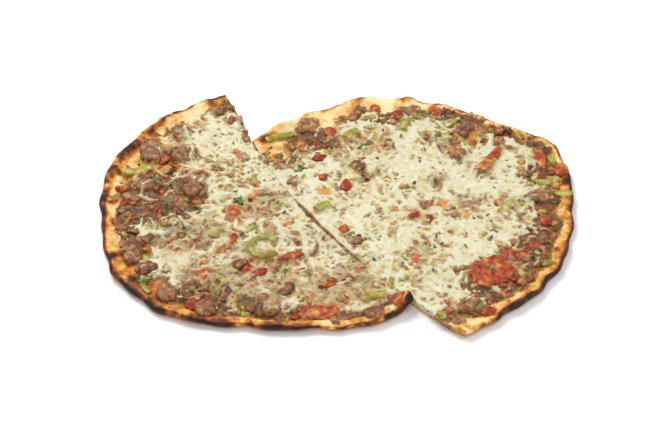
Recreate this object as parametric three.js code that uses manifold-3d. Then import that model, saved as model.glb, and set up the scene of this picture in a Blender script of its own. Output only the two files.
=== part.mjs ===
// A lahmacun: a thin oval flatbread with a curled rim, a layer of minced meat, melted grated cheese and
// loose pieces of meat, tomato and green pepper. It is cut across in two halves, which lie together,
// slid a little along the cut. Millimetres, +Z up: +X runs across the cut, +Y along it.
import * as THREE from 'three';
import { mergeVertices } from 'three/addons/utils/BufferGeometryUtils.js';
import Module from 'manifold-3d';

const wasm = await Module();
wasm.setup();

// The cut: a shallow bow across the bread, open by the knife's width
const CUT_X = -20;
const CUT_BOW = 14.3;
const CUT_HALF_LENGTH = 118;
const KERF = 1.6;

// The two halves. radii are the rim's distances from the middle of the half's cut, in even steps of angle
// from the front tip round to the back tip. phases set where the rim's waves lie, and tipCurl is how far the
// front tip stands up.
const LEFT = {
  name: 'left',
  side: -1,
  middleY: 17.5,
  radii: [119, 122, 119, 118, 124, 128, 129, 127, 129, 135, 132, 127, 120],
  phases: [0.4, 1.9, 0.3],
  tipCurl: 4.5,
  seed: 11,
};
const RIGHT = {
  name: 'right',
  side: 1,
  middleY: -25.5,
  radii: [113, 116, 123, 133, 142, 158, 171, 160, 152, 144, 131, 119, 110],
  phases: [2.6, 0.7, 2.1],
  tipCurl: 0.5,
  seed: 23,
};

// Thicknesses and heights
const DOUGH = 2.6;
const RIM_RISE = 3.6;
const RIM_RISE_WAVE = 1.4;
const RIM_LIFT = 1.7;
const RIM_LIFT_WAVE = 1.6;
const TIP_CURL_REACH = 14;
const TIP_LIFT_SHARE = 0.8;
const FILLING = 1.4;
const FILLING_BUMP = 1.3;
const CHEESE = 1;
const CHEESE_BUMP = 0.8;
const GAP = 0.35;

// Across the rim, from its inner foot to its edge: distance from the edge, share of the rise on the top face
// and share of the lift on the underside
const RIM_PROFILE = [
  { inset: 12, rise: 0, lift: 0 },
  { inset: 7.5, rise: 0.5, lift: 0 },
  { inset: 3.5, rise: 1, lift: 0.35 },
  { inset: 1.2, rise: 0.9, lift: 0.7 },
  { inset: 0, rise: 0.4, lift: 1 },
];
const RIM_SEGMENTS = 56;
const FLAT_SEGMENTS = [8, 16, 32];
// Waves along the rim, as how often they turn in a full circle
const OUTLINE_WAVE = 1.6;
const OUTLINE_TURNS = [13, 22, 37];
const RISE_TURNS = [7, 15, 27];
const LIFT_TURNS = [5, 12, 23];
const RAGGED_TURNS = [6, 11, 19];

// The layers on the dough
const FILLING_INSET = 12.6;
const FILLING_RAGGED = 3.5;
const CHEESE_INSET = 21;
const CHEESE_RAGGED = 8;
const LAYER_RINGS = 14;
const CHEESE_RINGS = 11;
const RING_SEGMENTS = 4;

// Melted shreds that stand out of the cheese
const SHREDS_A_HALF = 7;
const SHRED_LENGTH = 17;
const SHRED_WIDTH = 2.4;
const SHRED_HEIGHT = 1.4;
const SHRED_BEND = 3;
const SHRED_STEPS = 3;
const SHRED_SIDES = 4;
const SHRED_TRIES = 40;
const SHRED_CLEARANCE = 4;

// Pieces lying on top: x, y, length, width and turn in degrees
const MEAT = [
  [-74, 110, 24, 16, 60],
  [-47, 116, 19, 13, 55],
  [-58, 93, 19, 15, 30],
  [-93, 80, 16, 13, 40],
  [-70, 60, 18, 14, 15],
  [-87, 55, 14, 12, 70],
  [-132, 29, 18, 12, 80],
  [-93, 14, 10, 9, 0],
  [-131, -14, 15, 13, 65],
  [-117, 33, 10, 9, 20],
  [-118, -38, 16, 14, 75],
  [-85, -56, 22, 16, 57],
  [-99, 40, 13, 11, 155],
  [-36, -96, 14, 10, 165],
  [28, 78, 19, 16, 50],
  [97, 54, 14, 10, 30],
  [30, 23, 14, 10, 110],
  [113, 17, 15, 11, 25],
  [96, -1, 19, 12, 20],
  [125, 12, 11, 8, 70],
  [112, -65, 15, 12, 70],
  [93, -97, 15, 13, 30],
  [68, -15, 15, 10, 20],
  [71, -110, 16, 14, 10],
  [16, -120, 18, 10, 10],
];
const TOMATO = [
  [102, -84, 12, 9, 60],
  [-63, 77, 32, 5, 133],
  [-106, 87, 14, 6, 138],
  [-59, 28, 14, 10, 60],
  [-106, -15, 18, 14, 10],
  [-52, -28, 22, 7, 170],
  [-62, -77, 32, 16, 158],
  [-17, -97, 14, 10, 20],
  [11, 57, 11, 8, 50],
  [36, 63, 13, 9, 55],
  [77, 70, 10, 9, 60],
  [84, 55, 13, 9, 35],
  [109, 45, 15, 10, 65],
  [110, -18, 36, 8, 25],
  [139, -31, 31, 10, 60],
  [141, -51, 15, 11, 60],
  [44, -105, 36, 27, 8],
  [22, -132, 13, 8, 15],
];
// Curved strips of pepper: x, y, radius of the strip's middle line, sweep, width and turn, in degrees
const PEPPER = [
  [-61, -12, 9, 285, 4.6, 150],
  [-91, 97, 14, 75, 6, 250],
  [-139, 0, 14, 70, 5, 165],
  [-28, -84, 14, 62, 6, 80],
  [6, 79, 40, 28, 6, 75],
  [46, 53, 9, 75, 7, 100],
  [83, 42, 16, 50, 5.5, 120],
  [126, -54, 11, 95, 5.5, 250],
  [-10, 1, 10, 60, 6, 90],
];
const MEAT_HEIGHT_SHARE = 0.36;
const TOMATO_HEIGHT = 3;
const PEPPER_HEIGHT = 3.2;
const SINK_SHARE = 0.22;
const MEAT_BOXINESS = 4;
const TOMATO_BOXINESS = 2.6;
const MEAT_UNEVENNESS = 0.16;
const TOMATO_UNEVENNESS = 0.2;
const LUMP_SPLITS = 2;
const PIECE_SEED = 7;
const PEPPER_SIDES = 6;
const PEPPER_STEP = 5;

const FINISHES = {
  crust: { color: 0xe0a860, roughness: 0.75 },
  filling: { color: 0x96664e, roughness: 0.6 },
  cheese: { color: 0xe8e0bc, roughness: 0.4 },
  meat: { color: 0x84604e, roughness: 0.6 },
  tomato: { color: 0xc4432a, roughness: 0.3 },
  pepper: { color: 0x98a83c, roughness: 0.35 },
};

// Helpers' limits: below everything, above everything, and how close two points are to be one
const FLOOR_BELOW = -20;
const SKY = 100;
const MERGE_WITHIN = 1e-4;

// A seeded run of numbers from 0 to 1, the same each time
function seededDraw(seed) {
  let state = seed;
  return () => {
    state = (state * 1664525 + 1013904223) % 4294967296;
    return state / 4294967296;
  };
}

// Solids from closed geometries, and back again
function toSolid(geometry) {
  const bare = new THREE.BufferGeometry();
  bare.setAttribute('position', geometry.getAttribute('position').clone());
  bare.setIndex(geometry.getIndex());
  const merged = mergeVertices(bare, MERGE_WITHIN);
  const vertProperties = Float32Array.from(merged.getAttribute('position').array);
  const triVerts = Uint32Array.from(merged.getIndex().array);
  return new wasm.Manifold(new wasm.Mesh({ numProp: 3, vertProperties, triVerts }));
}

function toGeometry(solid) {
  const { vertProperties, triVerts } = solid.getMesh();
  const geometry = new THREE.BufferGeometry();
  geometry.setAttribute('position', new THREE.BufferAttribute(vertProperties, 3));
  geometry.setIndex(new THREE.BufferAttribute(triVerts, 1));
  geometry.computeVertexNormals();
  return geometry;
}

// The largest body of a cut solid, so that no loose scrap is left
function largestBody(solid) {
  const bodies = solid.decompose();
  return bodies.reduce((best, body) => (body.volume() > best.volume() ? body : best));
}

// Plan of a half: the cut's bow, and the rim's distance at an angle from the front tip to the back tip
function cutX(y) {
  return CUT_X + CUT_BOW * (y / CUT_HALF_LENGTH) ** 2;
}

// A wave from -1 to 1 along a half's rim, made of three that don't repeat together
function wave(half, turns, angle) {
  return turns.reduce((sum, n, i) => sum + Math.sin(n * angle + half.phases[i]), 0) / turns.length;
}

function rimRadius(half, angle) {
  const points = half.radii.map((radius, i) => new THREE.Vector2(i, radius));
  const smooth = new THREE.SplineCurve(points).getPoint(angle / Math.PI + 0.5).y;
  return smooth + OUTLINE_WAVE * wave(half, OUTLINE_TURNS, angle);
}

function planPoint(half, angle, radius, z) {
  const y = half.middleY + radius * Math.sin(angle);
  const across = radius * Math.cos(angle) + KERF / 2;
  return new THREE.Vector3(cutX(y) + half.side * across, y, z);
}

function evenAngles(segments) {
  return Array.from({ length: segments + 1 }, (_, i) => -Math.PI / 2 + (Math.PI * i) / segments);
}

// A ring of points at a radius and height that may change with the angle
function ring(half, segments, radiusAt, heightAt) {
  return evenAngles(segments).map((a) => planPoint(half, a, radiusAt(a), heightAt(a)));
}

// Waves of the rim: how far the top rises and the underside lifts at an angle
function tipCurl(half, angle) {
  const fromTip = (angle + Math.PI / 2) * half.radii[0];
  return half.tipCurl * Math.exp(-((fromTip / TIP_CURL_REACH) ** 2));
}

function rimRise(half, angle) {
  return RIM_RISE + RIM_RISE_WAVE * wave(half, RISE_TURNS, angle) + tipCurl(half, angle);
}

function rimLift(half, angle) {
  return RIM_LIFT + RIM_LIFT_WAVE * wave(half, LIFT_TURNS, angle) + TIP_LIFT_SHARE * tipCurl(half, angle);
}

// Joins two rows of points with triangles, stepping along whichever row lags behind
function stitch(rowA, rowB, faces) {
  const endA = rowA.length - 1;
  const endB = rowB.length - 1;
  let a = 0;
  let b = 0;
  while (a < endA || b < endB) {
    const stepA = b === endB || (a < endA && (a + 1) / endA <= (b + 1) / endB);
    if (stepA) {
      faces.push([rowA[a], rowB[b], rowA[a + 1]]);
      a += 1;
    } else {
      faces.push([rowA[a], rowB[b], rowB[b + 1]]);
      b += 1;
    }
  }
}

// A half-disc slab between two sets of rings, each running from the middle of the cut out to the edge
function slab(half, topRings, undersideRings) {
  const points = [];
  const indexed = (rings) => rings.map((row) => row.map((point) => points.push(point) - 1));
  const top = indexed(topRings);
  const underside = indexed(undersideRings);
  const cutLine = (rings) => {
    const outer = rings.slice(1);
    return [...outer.map((row) => row[0]).reverse(), rings[0][0], ...outer.map((row) => row[row.length - 1])];
  };
  const faces = [];
  const lowerFaces = [];
  for (let k = 1; k < top.length; k += 1) stitch(top[k - 1], top[k], faces);
  for (let k = 1; k < underside.length; k += 1) stitch(underside[k - 1], underside[k], lowerFaces);
  faces.push(...lowerFaces.map(([a, b, c]) => [a, c, b]));
  stitch(top[top.length - 1], underside[underside.length - 1], faces);
  stitch(cutLine(underside), cutLine(top), faces);
  const outward = half.side > 0 ? faces : faces.map(([a, b, c]) => [a, c, b]);
  const geometry = new THREE.BufferGeometry().setFromPoints(points);
  geometry.setIndex(outward.flat());
  return toSolid(geometry);
}

const lifted = (rings, by) => rings.map((row) => row.map((p) => new THREE.Vector3(p.x, p.y, p.z + by)));
const levelled = (rings, z) => rings.map((row) => row.map((p) => new THREE.Vector3(p.x, p.y, z)));

// Dough: flat in the middle, with a wavy curled rim
function crustRings(half) {
  const foot = (angle) => rimRadius(half, angle) - RIM_PROFILE[0].inset;
  const flat = (share, segments, z) => ring(half, segments, (a) => share * foot(a), () => z);
  const flatRings = (z) => [
    [planPoint(half, 0, 0, z)],
    ...FLAT_SEGMENTS.map((segments, i) => flat((i + 1) / (FLAT_SEGMENTS.length + 1), segments, z)),
  ];
  const rimRing = (inset, zAt) => ring(half, RIM_SEGMENTS, (a) => rimRadius(half, a) - inset, zAt);
  const top = RIM_PROFILE.map(({ inset, rise }) => rimRing(inset, (a) => DOUGH + rise * rimRise(half, a)));
  const underside = RIM_PROFILE.map(({ inset, lift }) => rimRing(inset, (a) => lift * rimLift(half, a)));
  return { top: [...flatRings(DOUGH), ...top], underside: [...flatRings(0), ...underside] };
}

// Minced filling: an uneven layer with a ragged edge, flat underneath. Its inner rings carry the cheese.
function layerRings(half, draw) {
  const ragged = (a) => 0.5 + 0.5 * wave(half, RAGGED_TURNS, a);
  const fillingEdge = (a) => rimRadius(half, a) - FILLING_INSET - FILLING_RAGGED * ragged(a);
  const cheeseEdge = (a) => rimRadius(half, a) - CHEESE_INSET - CHEESE_RAGGED * ragged(-a);
  const radiusAt = (k, a) => {
    if (k <= CHEESE_RINGS) return (cheeseEdge(a) * k) / CHEESE_RINGS;
    const share = (k - CHEESE_RINGS) / (LAYER_RINGS - CHEESE_RINGS);
    return THREE.MathUtils.lerp(cheeseEdge(a), fillingEdge(a), share);
  };
  const base = DOUGH + GAP;
  const bump = (k) => (k === LAYER_RINGS ? FILLING / 2 : FILLING + FILLING_BUMP * draw());
  const top = [[planPoint(half, 0, 0, base + FILLING)]];
  for (let k = 1; k <= LAYER_RINGS; k += 1) {
    top.push(ring(half, RING_SEGMENTS * k, (a) => radiusAt(k, a), () => base + bump(k)));
  }
  const edge = top[LAYER_RINGS];
  const underside = [[planPoint(half, 0, 0, base)]];
  for (let k = 2; k < LAYER_RINGS; k += 2) {
    underside.push(ring(half, (RING_SEGMENTS * k) / 2, (a) => radiusAt(k, a), () => base));
  }
  underside.push(...levelled([edge], base));
  return { top, underside };
}

// Melted cheese: a thin uneven blanket that follows the filling
function cheeseRings(fillingTop, draw) {
  const covered = fillingTop.slice(0, CHEESE_RINGS + 1);
  const underside = lifted(covered, GAP);
  const top = covered.map((row, k) => {
    const thickness = () => (k === CHEESE_RINGS ? CHEESE / 2 : CHEESE + CHEESE_BUMP * draw());
    return row.map((p) => new THREE.Vector3(p.x, p.y, p.z + GAP + thickness()));
  });
  return { top, underside };
}

// Height of the highest surface straight below a place
function heightAt(surfaces, x, y) {
  const ray = new THREE.Raycaster(new THREE.Vector3(x, y, SKY), new THREE.Vector3(0, 0, -1));
  const hits = ray.intersectObjects(surfaces);
  return hits.length > 0 ? hits[0].point.z : 0;
}

// Mean height under a piece, from its middle and four points around it
function heightUnder(surfaces, x, y, reach) {
  const places = [[0, 0], [reach, 0], [-reach, 0], [0, reach], [0, -reach]];
  return places.reduce((sum, [dx, dy]) => sum + heightAt(surfaces, x + dx, y + dy), 0) / places.length;
}

// A strip along a curve, with a rounded section
function strip(curve, width, height, steps, sides) {
  const section = new THREE.Shape(new THREE.EllipseCurve(0, 0, height / 2, width / 2).getPoints(sides));
  return new THREE.ExtrudeGeometry(section, { steps, bevelEnabled: false, extrudePath: curve });
}

// A place on the cheese where a shred lies clear of the cut, the cheese's edge and the pieces on top
function shredPlace(half, draw) {
  const pieces = [...MEAT, ...TOMATO, ...PEPPER.map(([x, y, radius]) => [x, y, 2 * radius])];
  for (let n = 0; n < SHRED_TRIES; n += 1) {
    const angle = Math.PI * (draw() - 0.5);
    const reach = rimRadius(half, angle) - CHEESE_INSET - CHEESE_RAGGED - SHRED_LENGTH / 2;
    const place = planPoint(half, angle, reach * Math.sqrt(draw()), 0);
    const fromCut = Math.abs(place.x - cutX(place.y));
    const apart = (size) => (size + SHRED_LENGTH) / 2 + SHRED_CLEARANCE;
    const clearOf = ([x, y, size]) => Math.hypot(place.x - x, place.y - y) > apart(size);
    if (fromCut > SHRED_LENGTH / 2 + SHRED_BEND && pieces.every(clearOf)) return place;
  }
  throw new Error('no clear place is left for a shred');
}

// Shreds lie half sunk in the cheese, following its height
function shreds(half, blanket, draw) {
  const surface = new THREE.Mesh(toGeometry(blanket));
  const solids = [];
  for (let n = 0; n < SHREDS_A_HALF; n += 1) {
    const middle = shredPlace(half, draw);
    const turn = Math.PI * draw();
    const along = new THREE.Vector3(Math.cos(turn), Math.sin(turn), 0);
    const beside = new THREE.Vector3(-along.y, along.x, 0);
    const points = Array.from({ length: SHRED_STEPS + 1 }, (_, i) => {
      const t = (2 * i) / SHRED_STEPS - 1;
      const p = middle.clone().addScaledVector(along, (t * SHRED_LENGTH) / 2);
      p.addScaledVector(beside, SHRED_BEND * (1 - t * t));
      p.z = heightAt([surface], p.x, p.y);
      return p;
    });
    const curve = new THREE.CatmullRomCurve3(points);
    solids.push(toSolid(strip(curve, SHRED_WIDTH, SHRED_HEIGHT, SHRED_STEPS, SHRED_SIDES)));
  }
  return solids;
}

const drawPieces = seededDraw(PIECE_SEED);

// A lump: a block of its length, width and height, rounded off by its boxiness and made uneven
function lump({ length, width, height, boxiness, unevenness }) {
  const block = new THREE.BoxGeometry(2, 2, 2, LUMP_SPLITS, LUMP_SPLITS, LUMP_SPLITS);
  block.deleteAttribute('normal');
  block.deleteAttribute('uv');
  const geometry = mergeVertices(block, MERGE_WITHIN);
  const position = geometry.getAttribute('position');
  const p = new THREE.Vector3();
  for (let i = 0; i < position.count; i += 1) {
    p.fromBufferAttribute(position, i);
    const reach = [p.x, p.y, p.z].reduce((sum, v) => sum + Math.abs(v) ** boxiness, 0) ** (1 / boxiness);
    p.multiplyScalar((1 - unevenness * drawPieces()) / reach);
    position.setXYZ(i, (p.x * length) / 2, (p.y * width) / 2, (p.z * height) / 2);
  }
  return geometry;
}

// A strip of pepper wall along an arc. A short strip is centred on itself, and a ring on its own middle.
function pepperStrip(radius, sweep, width) {
  const half = THREE.MathUtils.degToRad(sweep) / 2;
  const steps = Math.max(3, Math.round((2 * half * radius) / PEPPER_STEP));
  const points = Array.from({ length: steps + 1 }, (_, i) => {
    const angle = half * ((2 * i) / steps - 1);
    return new THREE.Vector3(radius * Math.cos(angle), radius * Math.sin(angle), 0);
  });
  const geometry = strip(new THREE.CatmullRomCurve3(points), width, PEPPER_HEIGHT, steps, PEPPER_SIDES);
  const inward = 2 * half > Math.PI ? 0 : (radius * (1 + Math.cos(half))) / 2;
  geometry.translate(-inward, 0, 0);
  return geometry;
}

// Each half's layers, with blocks that reach below the floor to trim what lies on them
function makeLayers(half) {
  const draw = seededDraw(half.seed);
  const crust = crustRings(half);
  const filling = layerRings(half, draw);
  const cheese = cheeseRings(filling.top, draw);
  const block = ({ top }) => slab(half, lifted(top, GAP), levelled(top, FLOOR_BELOW));
  const blocks = [block(crust), block(filling), block(cheese)];
  const solids = {
    crust: slab(half, crust.top, crust.underside),
    filling: slab(half, filling.top, filling.underside),
    cheese: slab(half, cheese.top, cheese.underside),
  };
  for (const shred of shreds(half, solids.cheese, draw)) solids.cheese = solids.cheese.add(shred);
  const surfaces = Object.values(solids).map((solid) => new THREE.Mesh(toGeometry(solid)));
  return { half, blocks, solids, surfaces };
}

const group = new THREE.Group();
group.name = 'lahmacun';

function addMesh(name, kind, solid) {
  const material = new THREE.MeshStandardMaterial({ ...FINISHES[kind], metalness: 0 });
  const mesh = new THREE.Mesh(toGeometry(solid), material);
  mesh.name = name;
  group.add(mesh);
}

const layers = [makeLayers(LEFT), makeLayers(RIGHT)];
for (const { half, solids } of layers) {
  for (const [kind, solid] of Object.entries(solids)) addMesh(`${kind}_${half.name}`, kind, solid);
}

// Sets a piece down on the layers at a place, sunk in a little, and trims its underside to them
function setDown(geometry, { x, y, turn, height, reach }) {
  const { blocks, surfaces } = x < cutX(y) ? layers[0] : layers[1];
  geometry.rotateZ(THREE.MathUtils.degToRad(turn));
  geometry.translate(x, y, heightUnder(surfaces, x, y, reach) + height * (0.5 - SINK_SHARE));
  return largestBody(blocks.reduce((solid, block) => solid.subtract(block), toSolid(geometry)));
}

const numbered = (kind, i) => `${kind}_${String(i + 1).padStart(2, '0')}`;

MEAT.forEach(([x, y, length, width, turn], i) => {
  const height = width * MEAT_HEIGHT_SHARE;
  const shape = lump({ length, width, height, boxiness: MEAT_BOXINESS, unevenness: MEAT_UNEVENNESS });
  addMesh(numbered('meat', i), 'meat', setDown(shape, { x, y, turn, height, reach: width / 3 }));
});

TOMATO.forEach(([x, y, length, width, turn], i) => {
  const height = TOMATO_HEIGHT;
  const shape = lump({ length, width, height, boxiness: TOMATO_BOXINESS, unevenness: TOMATO_UNEVENNESS });
  addMesh(numbered('tomato', i), 'tomato', setDown(shape, { x, y, turn, height, reach: width / 3 }));
});

PEPPER.forEach(([x, y, radius, sweep, width, turn], i) => {
  const place = { x, y, turn, height: PEPPER_HEIGHT, reach: width / 2 };
  addMesh(numbered('pepper', i), 'pepper', setDown(pepperStrip(radius, sweep, width), place));
});

// The origin is the middle of the box, at the bottom
const box = new THREE.Box3().setFromObject(group);
const centre = box.getCenter(new THREE.Vector3());
group.position.set(-centre.x, -centre.y, -box.min.z);
group.updateMatrixWorld(true);

export default group;
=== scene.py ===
# A lahmacun cut in two halves: thin bread with a browned rim, mince, melted grated cheese, and pieces of
# meat, tomato, green pepper and parsley. Shapes are in millimetres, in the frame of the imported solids.
import itertools
import math
from dataclasses import dataclass

import bpy
import numpy as np
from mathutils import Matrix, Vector


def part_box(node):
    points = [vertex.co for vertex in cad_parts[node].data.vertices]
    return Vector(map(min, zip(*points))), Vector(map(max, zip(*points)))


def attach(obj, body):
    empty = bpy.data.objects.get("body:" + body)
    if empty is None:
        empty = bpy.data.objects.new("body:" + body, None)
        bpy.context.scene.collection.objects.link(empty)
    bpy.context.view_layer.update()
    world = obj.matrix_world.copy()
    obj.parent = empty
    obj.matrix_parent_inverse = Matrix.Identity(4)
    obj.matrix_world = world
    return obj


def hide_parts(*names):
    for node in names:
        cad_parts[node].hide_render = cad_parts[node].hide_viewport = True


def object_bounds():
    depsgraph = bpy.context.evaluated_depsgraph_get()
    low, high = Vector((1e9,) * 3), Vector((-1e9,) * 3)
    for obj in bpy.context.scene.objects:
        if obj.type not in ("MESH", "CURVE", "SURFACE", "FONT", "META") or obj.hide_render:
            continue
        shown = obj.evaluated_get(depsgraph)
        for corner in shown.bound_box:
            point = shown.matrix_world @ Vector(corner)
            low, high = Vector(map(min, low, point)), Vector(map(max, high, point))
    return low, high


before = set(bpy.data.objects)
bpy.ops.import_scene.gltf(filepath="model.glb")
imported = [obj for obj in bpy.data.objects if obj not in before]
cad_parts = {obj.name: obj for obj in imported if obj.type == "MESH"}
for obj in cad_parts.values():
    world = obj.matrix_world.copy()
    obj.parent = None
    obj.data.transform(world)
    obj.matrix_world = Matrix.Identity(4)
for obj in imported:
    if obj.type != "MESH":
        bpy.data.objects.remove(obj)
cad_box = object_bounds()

MM = 0.001

# The cut across the bread and the rim's waves, as in the solids
CUT_X = -20.0
CUT_BOW = 14.3
CUT_HALF_LENGTH = 118.0
KERF = 1.6
OUTLINE_WAVE = 1.6
OUTLINE_TURNS = (13, 22, 37)
RISE_TURNS = (7, 15, 27)
LIFT_TURNS = (5, 12, 23)

# Thicknesses and the rim's section
DOUGH = 2.6
RIM_RISE = 3.6
RIM_RISE_WAVE = 1.4
RIM_LIFT = 1.7
RIM_LIFT_WAVE = 1.6
TIP_CURL_REACH = 14.0
TIP_LIFT_SHARE = 0.8
FOOT_INSET = 12.0
CREST_INSET = 3.2
LIFT_INSET = 8.0
EDGE_SHARE = 0.4
NOSE_RADIUS = 1.4
LIFT_BEND = 1.3
FOLD_EDGE = 0.8

# Unevenness of the dough on the rim and on the flat, and the insets between which one gives way to the other
RIM_RELIEF = 0.8
RIM_FINE_RELIEF = 0.5
FLAT_RELIEF = 0.25
RIM_RELIEF_FADE = (7, 15)
BLISTER_SIZE = 8.0

# Layers: where they end, as distances from the rim's edge, how thick they lie and where they fade out
FILLING_EDGE = 5.0
FILLING_THICKNESS = 2.0
FILLING_OVERHANG = 0.4
FILLING_UNDER = DOUGH - 0.3
FILLING_FADE = (-2, 5)
FILLING_RAGGED = 4
CRUMB_SIZE = 3.1
CRUMB_RAGGED = 1.1
BURIED_SIZE = 6.5
CHEESE_EDGE = 10.0
CHEESE_DIP = 0.45
CHEESE_OPAQUE = 0.46
CHEESE_OVERHANG = 0.6
CHEESE_UNDER = DOUGH - 0.6
CHEESE_FADE = (4, 15)
CHEESE_RAGGED = 6
CHEESE_TAPER = 3.0
CHEESE_LEAST = 0.05
DRAPE_REACH = 0.6

# Gratings of cheese, strings over the pieces, and the film between the gratings. Its least thickness and how
# far it all melts together are given for the left and the right half
STRAND_COUNT = 2500
STRAND_LENGTH = (4.0, 14.0)
STRAND_WIDTH = (0.75, 1.3)
STRAND_HEIGHT = 1.15
STRAND_BEND = 0.16
STRAND_WIGGLE = 0.05
STRAND_POINTS = 6
STRING_WIDTH = 0.8
STRING_HEIGHT = 1.3
FILM = 0.7
FILM_LEAST = (0.36, 0.46)
MELT_REACH = (0.5, 0.42)

# Larger pieces: how far they swell beyond their solids, how far their undersides are let in and up to which
# share of their height, and how far below their tops and how wide the mince is piled against them
SWELL = 0.2
SINK = 1.6
SINK_SHARE = 0.6
PILE_DROP = 0.25
PILE_REACH = 2.5

# Turns the noise on them, so that it doesn't line up with their sides
TURNED = np.array(((0.8, -0.6, 0.0), (0.48, 0.64, -0.6), (0.36, 0.48, 0.8)))

# Smaller pieces and flakes of parsley, with tilts and turns in radians
BIT_SPLITS = 4
BIT_BOXINESS = 3.0
BIT_UNEVENNESS = 0.62
BIT_SHORTEST = 2.4
BIT_WIDEST = 5.0
BIT_DOME_SHARE = 0.6
BIT_TILT = 0.15
LOOSE_FLAKES = 120
BUNCH_FLAKES = 3
BUNCH_SPREAD = 1.8
LOOSE_LENGTHS = (0.7, 1.5)
BUNCH_LENGTHS = (1.4, 2.6)
LEAF_FADE = (9, 14)
LEAF_HALF = 0.09
LEAF_RISE = 0.25
LEAF_TILT = 0.25
FULL_TURN = 6.3

# Grids, meshes and noise
GRID_STEP = 0.4
GRID_MARGIN = 4.0
LATTICE = 256
OCTAVES = 3
CELL_LATTICE = 64
CELL_STEEPNESS = 1.5
STAMP_POINTS = 24
RIM_COLUMNS = 620
RIM_ROW_STEP = 0.75
BARE_DEPTH = 36.0
FILLING_SPACING = 0.75
CHEESE_SPACING = 0.54
PIECE_VOXEL = 0.6
LAYER_COLUMNS = 300
INNER_STEPS = ((0.25, 40), (0.5, 80), (0.75, 160), (0.93, 320))
UNDER_DEPTH = 16.0
UNDER_SHARES = (0.12, 0.25, 0.5, 0.75, 1.0)
UNDER_INSETS = (12.0, 9.0, 7.0, 5.5, 4.0, 2.6)
NOSE_TURNS = (90, 65, 42, 20, 0)
NOSE_UNDER_TURNS = (-90, -65, -42, -20)

# Spots: x, y and radius. Without filling, without cheese, where cheese runs further out, and scorched rim
SPOT_UNEVENNESS = 4
BARE_DOUGH = (
    (-44, 127, 9), (-75, 99, 6), (-133, -3, 9), (-2, 77, 13), (-6, 64, 9), (-10, 53, 6), (43, 76, 9),
    (81, 71, 10), (114, 12, 11), (5, -131, 6), (-30, 125, 9), (-60, 118, 9), (-15, 120, 8), (-99, 103, 8),
    (-118, 78, 5), (-84, 108, 8),
)
CHEESE_GAPS = (
    (-88, 68, 25), (-76, 93, 18), (-118, 78, 18), (-45, 124, 12), (42, -110, 20), (76, -102, 16),
    (127, -46, 12), (110, -74, 10), (26, 68, 18), (82, 62, 14), (-112, -28, 13), (112, 14, 13),
    (-74, -82, 13), (0, 72, 12), (-6, 60, 9),
)
MORE_CHEESE = ((-28, 117, 13), (-12, 115, 10), (-50, 111, 8))
SCORCHED = (
    (-119, 85, 5), (-2, 82, 3), (-127, 62, 4), (140, -60, 4), (122, -88, 4), (128, 36, 4), (-100, 104, 5),
    (20, -130, 4), (5, -135, 3),
)

# Spots of thin, toasted and soaked cheese: x, y and radius. Strings of cheese: places along each
THIN_CHEESE = (
    (-107, -10, 14), (-91, -31, 16), (-68, -42, 16), (-52, -61, 16), (-75, -17, 12), (-30, -70, 13),
    (-42, 26, 14), (-84, 20, 13), (38, -38, 11), (70, -45, 11), (-104, 22, 13), (92, -58, 12),
    (18, -70, 10), (-20, -55, 9), (62, 42, 13), (92, 16, 12), (30, 46, 10), (100, -20, 10),
)
TOASTED_CHEESE = (
    (-128, 1, 4), (-96, -44, 4), (64, -55, 2), (57, -35, 2), (-95, 62, 3), (0, 17, 3), (-9, -22, 3),
    (30, 20, 2),
)
SOAKED_CHEESE = (
    (37, -39, 7), (33, -61, 6), (-60, 26, 8), (-36, 0, 5), (15, 14, 5), (12, -72, 5), (-13, 24, 5),
    (53, 30, 4), (-75, -17, 5), (-51, -33, 5),
)
STRINGS = (
    ((-44, 119), (-47, 108), (-48, 99), (-54, 90), (-62, 83), (-72, 79)),
    ((-79, 95), (-79, 86), (-76, 80), (-69, 76), (-60, 74)),
    ((-72, 79), (-82, 76), (-90, 80), (-97, 79)),
    ((104, -10), (110, 0), (118, 6), (128, 6)),
    ((26, 66), (33, 72), (40, 71), (47, 66)),
)

# Smaller pieces at their places: x, y, length, width and turn in degrees
MEAT_BITS = (
    (-130, 14, 9, 8, 0), (-97, 29, 7, 6, 0), (-80, -14, 10, 8, 0), (-69, -49, 12, 9, 20),
    (61, 72, 18, 8, 30), (34, 12, 15, 6, 20), (-10, 53, 12, 9, 60), (-9, 34, 11, 8, 20),
    (118, 2, 8, 6, 30), (124, -6, 8, 6, 60), (4, -126, 13, 8, 60), (-13, 111, 9, 6, 60),
    (-13, 125, 7, 5, 40), (64, -91, 8, 7, 0), (49, -32, 7, 5, 0), (-9, -33, 12, 10, 80),
    (-8, 108, 7, 5, 70), (-11, 95, 5, 4, 30), (-5, 122, 5, 4, 120), (-14, 88, 6, 4, 80),
    (59, -111, 9, 7, 30), (69, -108, 8, 7, 0), (62, -100, 10, 7, 60), (55, -121, 7, 6, 20),
)
TOMATO_BITS = (
    (-70, 100, 9, 7, 0), (-61, 103, 8, 6, 30), (-87, 1, 17, 4.5, 12), (-74, 4, 16, 4.5, 57),
    (-79, -20, 8, 7, 0), (-119, -30, 13, 8, 10), (-39, 36, 12, 5, 20), (-36, 0, 7, 4, 0),
    (-74, -28, 12, 5, 170), (-45, -60, 12, 4, 170), (18, 47, 13, 8, 30), (16, 12, 11, 7, 30),
    (79, 20, 16, 3.5, 74), (125, -27, 9, 8, 30), (128, -61, 7, 6, 0), (82, -100, 6, 4, 0),
    (9, 28, 6, 4, 0), (-9, -23, 7, 6, 0), (34, -36, 9, 6, 20), (42, -43, 8, 5, 60),
    (-129, 53, 15, 3.5, 138), (61, -98, 12, 9, 20), (67, -105, 10, 7, 60), (54, -117, 9, 6, 0),
    (-8, -21, 6, 5, 0), (-63, 78, 28, 5, 133), (139, -31, 27, 7, 60), (109, -18, 30, 6, 25),
)
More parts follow.
